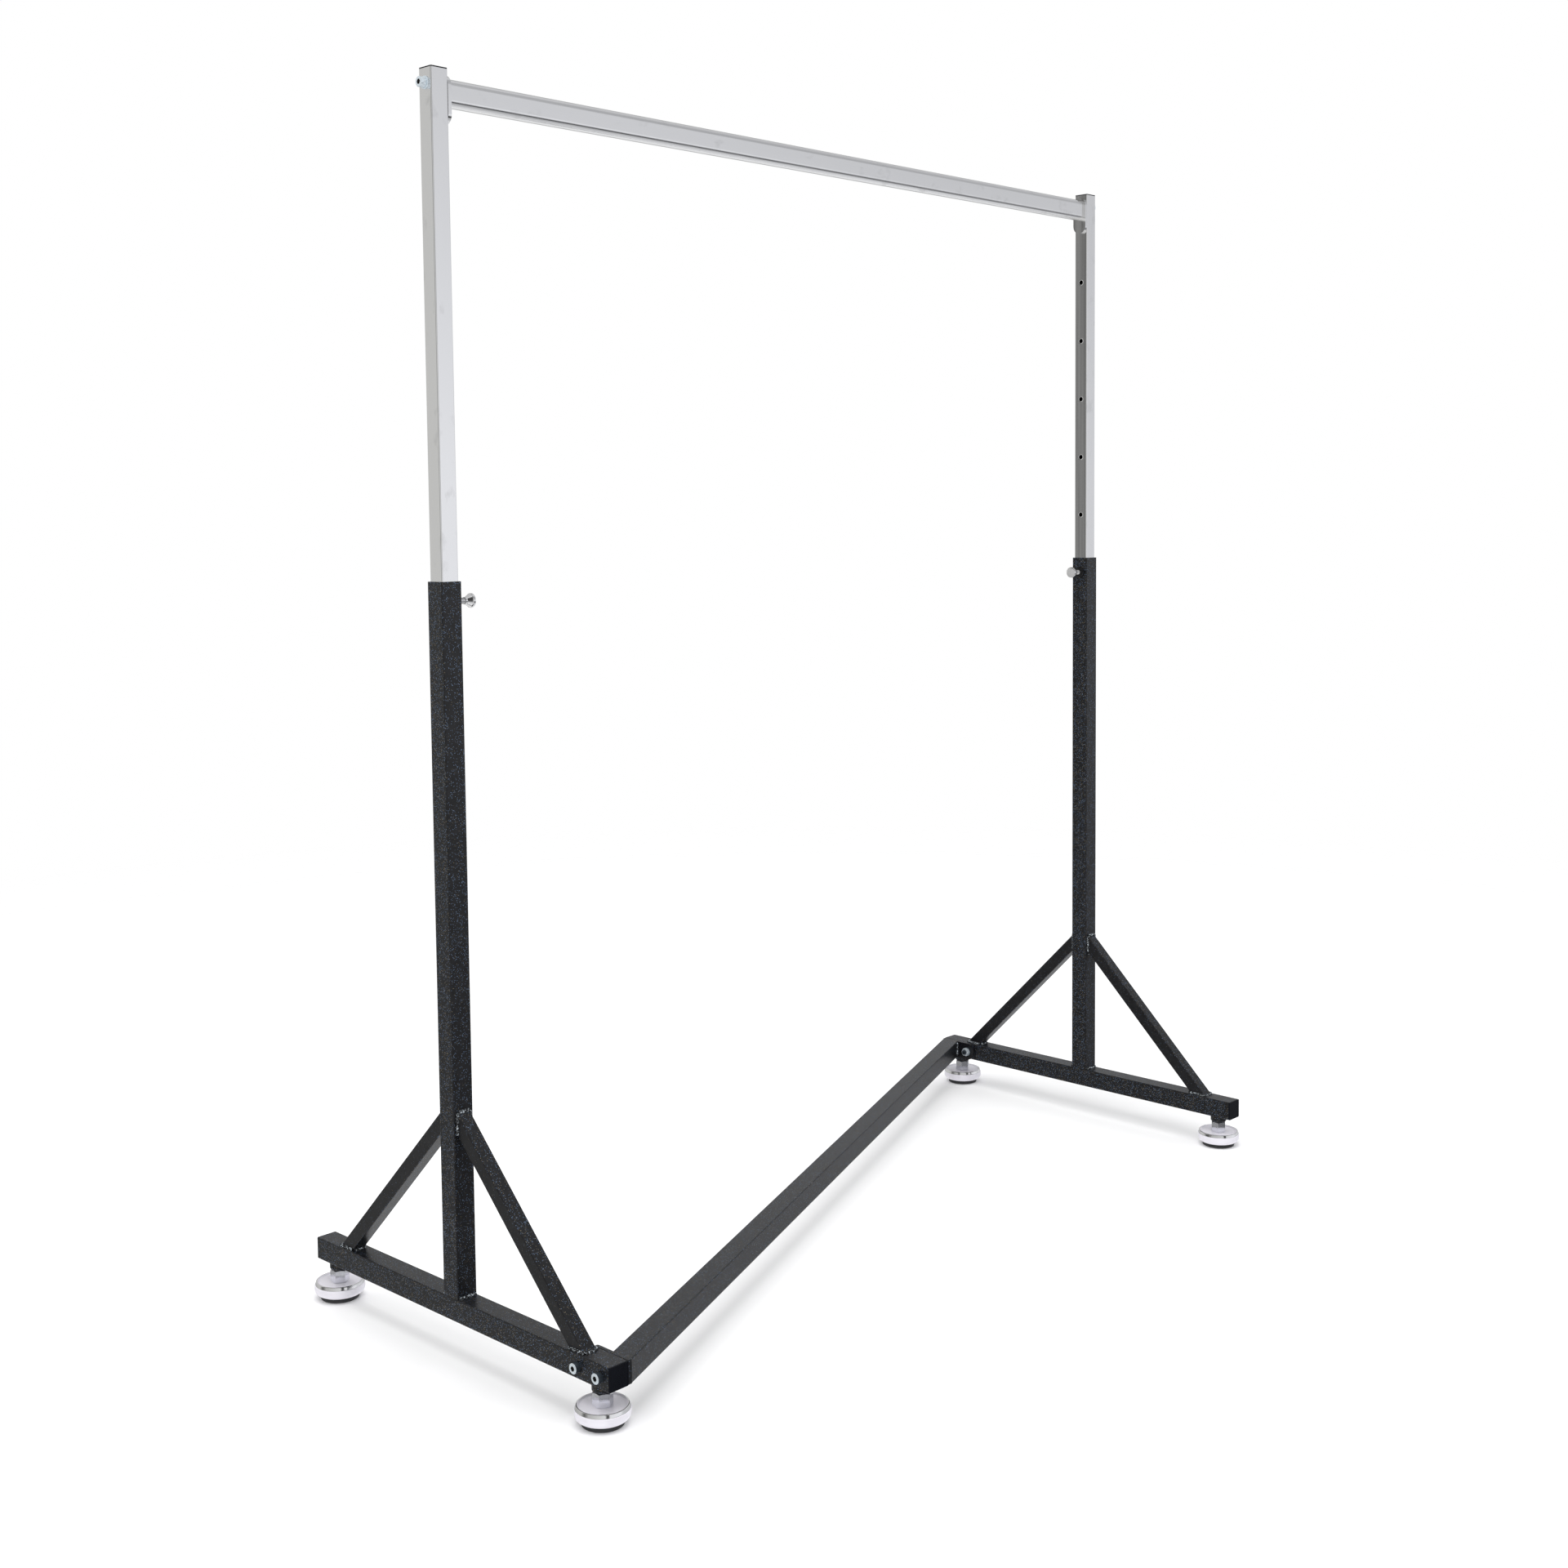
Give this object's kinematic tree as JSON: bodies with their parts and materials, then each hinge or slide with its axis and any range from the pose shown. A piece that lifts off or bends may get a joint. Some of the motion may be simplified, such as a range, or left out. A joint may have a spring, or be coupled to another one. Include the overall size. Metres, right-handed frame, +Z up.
{
  "type": "height-adjustable rail stand",
  "caption": "Free-standing rail stand: square-tube Z-shaped base on levelling feet, telescoping uprights with lock screws, and a flat-oval cross rail.",
  "frame": {"origin": "on the floor, under the middle of the stand", "axes": "+X along the rail, +Y along the foot bars, +Z up"},
  "size_m": [1.438, 0.618, 1.613],
  "materials": {
    "black_frame": "black textured powder coat with a satin sheen",
    "chrome_tube": "bright chrome plate on steel tube",
    "chrome_fittings": "bright chrome plate on turned steel",
    "zinc_screws": "bluish bright zinc plate",
    "black_plastic": "black moulded plastic",
    "black_rubber": "black moulded rubber"
  },
  "bodies": {
    "root": {"left_foot_bar": "black_frame", "left_post": "black_frame", "left_weld_beads": "black_frame", "left_lock_collar": "black_frame", "left_joint_plate": "black_frame", "left_front_brace": "black_frame", "left_front_end_cap": "black_plastic", "left_front_foot_boss": "black_frame", "left_rear_brace": "black_frame", "left_rear_end_cap": "black_plastic", "left_rear_foot_boss": "black_frame", "right_foot_bar": "black_frame", "right_post": "black_frame", "right_weld_beads": "black_frame", "right_lock_collar": "black_frame", "right_joint_plate": "black_frame", "right_front_brace": "black_frame", "right_front_end_cap": "black_plastic", "right_front_foot_boss": "black_frame", "right_rear_brace": "black_frame", "right_rear_end_cap": "black_plastic", "right_rear_foot_boss": "black_frame", "floor_bar": "black_frame", "joint_screws": "zinc_screws", "joint_washers": "zinc_screws", "joint_nuts": "zinc_screws", "joint_weld_beads": "black_frame"},
    "upper_frame": {"left_upright": "chrome_tube", "left_upright_cap": "black_plastic", "left_rail_plate": "chrome_tube", "right_upright": "chrome_tube", "right_upright_cap": "black_plastic", "right_rail_plate": "chrome_tube", "hang_rail": "chrome_tube", "rail_screws": "zinc_screws", "rail_washers": "zinc_screws"},
    "left_lock_stud": {"left_lock_stud": "chrome_fittings"},
    "left_lock_knob": {"left_lock_knob": "chrome_fittings"},
    "left_front_foot_stud": {"left_front_foot_stud": "chrome_fittings"},
    "left_front_foot_pad": {"left_front_foot_pad": "chrome_fittings", "left_front_foot_sole": "black_rubber"},
    "left_rear_foot_stud": {"left_rear_foot_stud": "chrome_fittings"},
    "left_rear_foot_pad": {"left_rear_foot_pad": "chrome_fittings", "left_rear_foot_sole": "black_rubber"},
    "right_lock_stud": {"right_lock_stud": "chrome_fittings"},
    "right_lock_knob": {"right_lock_knob": "chrome_fittings"},
    "right_front_foot_stud": {"right_front_foot_stud": "chrome_fittings"},
    "right_front_foot_pad": {"right_front_foot_pad": "chrome_fittings", "right_front_foot_sole": "black_rubber"},
    "right_rear_foot_stud": {"right_rear_foot_stud": "chrome_fittings"},
    "right_rear_foot_pad": {"right_rear_foot_pad": "chrome_fittings", "right_rear_foot_sole": "black_rubber"}
  },
  "joints": [
    {"name": "rail_height", "type": "slide", "parent": "root", "child": "upper_frame", "axis": [0, 0, 1], "range_m": [-0.5, 0]},
    {"name": "left_lock_travel", "type": "slide", "parent": "root", "child": "left_lock_stud", "axis": [-1, 0, 0], "range_m": [0, 0.005]},
    {"name": "left_lock_turn", "type": "hinge", "parent": "left_lock_stud", "child": "left_lock_knob", "pos_m": [-0.6515, 0, 0.963], "axis": [-1, 0, 0], "range_deg": [0, 1440]},
    {"name": "left_front_foot_height", "type": "slide", "parent": "root", "child": "left_front_foot_pad", "axis": [0, 0, -1], "range_m": [0, 0.021]},
    {"name": "left_front_foot_turn", "type": "hinge", "parent": "left_front_foot_pad", "child": "left_front_foot_stud", "pos_m": [-0.685, -0.275, 0.03], "axis": [0, 0, -1], "range_deg": [0, 4320]},
    {"name": "left_rear_foot_height", "type": "slide", "parent": "root", "child": "left_rear_foot_pad", "axis": [0, 0, -1], "range_m": [0, 0.021]},
    {"name": "left_rear_foot_turn", "type": "hinge", "parent": "left_rear_foot_pad", "child": "left_rear_foot_stud", "pos_m": [-0.685, 0.275, 0.03], "axis": [0, 0, -1], "range_deg": [0, 4320]},
    {"name": "right_lock_travel", "type": "slide", "parent": "root", "child": "right_lock_stud", "axis": [1, 0, 0], "range_m": [0, 0.005]},
    {"name": "right_lock_turn", "type": "hinge", "parent": "right_lock_stud", "child": "right_lock_knob", "pos_m": [0.6515, 0, 0.963], "axis": [1, 0, 0], "range_deg": [0, 1440]},
    {"name": "right_front_foot_height", "type": "slide", "parent": "root", "child": "right_front_foot_pad", "axis": [0, 0, -1], "range_m": [0, 0.021]},
    {"name": "right_front_foot_turn", "type": "hinge", "parent": "right_front_foot_pad", "child": "right_front_foot_stud", "pos_m": [0.685, -0.275, 0.03], "axis": [0, 0, -1], "range_deg": [0, 4320]},
    {"name": "right_rear_foot_height", "type": "slide", "parent": "root", "child": "right_rear_foot_pad", "axis": [0, 0, -1], "range_m": [0, 0.021]},
    {"name": "right_rear_foot_turn", "type": "hinge", "parent": "right_rear_foot_pad", "child": "right_rear_foot_stud", "pos_m": [0.685, 0.275, 0.03], "axis": [0, 0, -1], "range_deg": [0, 4320]}
  ],
  "couplings": [
    {"joint": "left_lock_turn", "follows": "left_lock_travel", "rad_per_m": 5026.5},
    {"joint": "left_front_foot_turn", "follows": "left_front_foot_height", "rad_per_m": 3590.4},
    {"joint": "left_rear_foot_turn", "follows": "left_rear_foot_height", "rad_per_m": 3590.4},
    {"joint": "right_lock_turn", "follows": "right_lock_travel", "rad_per_m": 5026.5},
    {"joint": "right_front_foot_turn", "follows": "right_front_foot_height", "rad_per_m": 3590.4},
    {"joint": "right_rear_foot_turn", "follows": "right_rear_foot_height", "rad_per_m": 3590.4}
  ]
}
